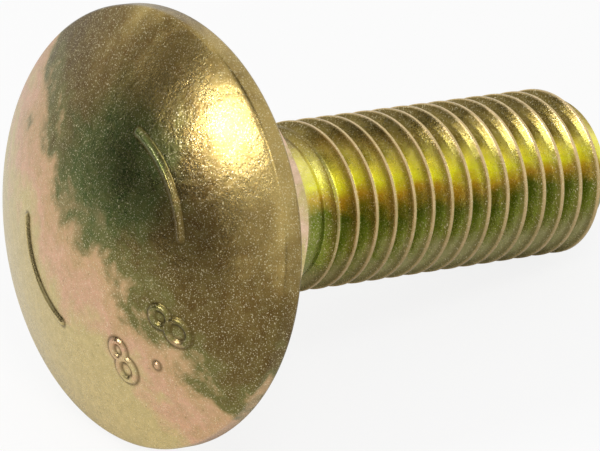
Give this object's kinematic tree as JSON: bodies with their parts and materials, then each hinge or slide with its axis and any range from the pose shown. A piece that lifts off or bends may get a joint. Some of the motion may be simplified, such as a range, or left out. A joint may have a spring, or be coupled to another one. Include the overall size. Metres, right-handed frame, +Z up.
{
  "type": "cup head square neck bolt",
  "caption": "Steel carriage bolt with a low domed head, a square neck and a coarse thread up to the neck.",
  "frame": {"origin": "bottom centre of the bolt's box as it lies on its side, on the surface it rests on", "axes": "+X from the head towards the tip, seen from above; +Z up; the bolt's axis lies in the XZ plane and falls 14.3 degrees towards the tip"},
  "size_m": [0.0446, 0.0304, 0.0298],
  "materials": {
    "plated_steel": "zinc plated and yellow passivated, glossy, with pink and green interference tints"
  },
  "bodies": {
    "root": {"bolt": "plated_steel"}
  },
  "joints": []
}
